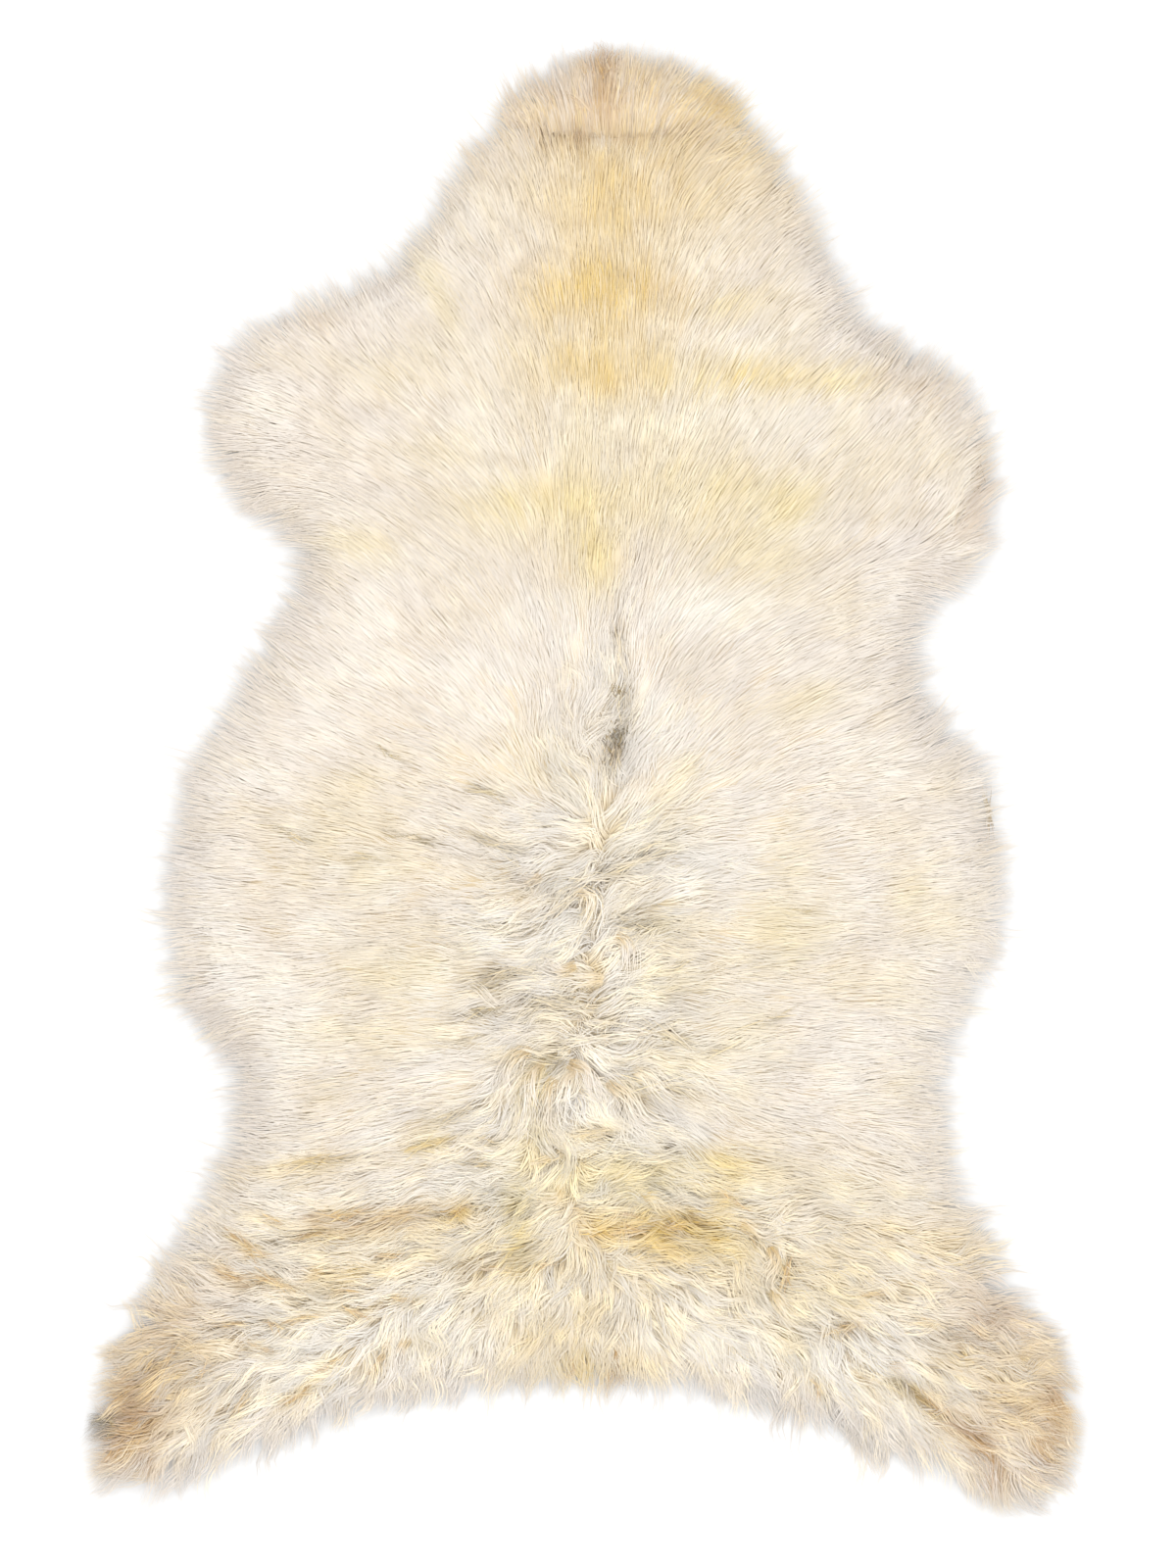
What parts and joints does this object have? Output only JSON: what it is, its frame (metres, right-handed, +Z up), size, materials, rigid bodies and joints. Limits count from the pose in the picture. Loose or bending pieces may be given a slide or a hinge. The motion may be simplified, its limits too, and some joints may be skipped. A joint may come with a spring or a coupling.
{
  "type": "sheepskin rug",
  "caption": "Whole natural sheepskin laid flat as a rug: a cream wool pelt with neck, shoulder, flank and hind-leg lobes and a soft rim of wool locks.",
  "frame": {"origin": "on the floor, under the middle of the rug's outer box", "axes": "+Z up out of the wool, +Y along the back towards the neck, +X to the right seen from above"},
  "size_m": [0.7428, 1.0988, 0.0537],
  "materials": {
    "wool": "long combed cream wool with golden and grey-brown shading, on a tanned hide"
  },
  "bodies": {
    "root": {"pelt": "wool"}
  },
  "joints": []
}
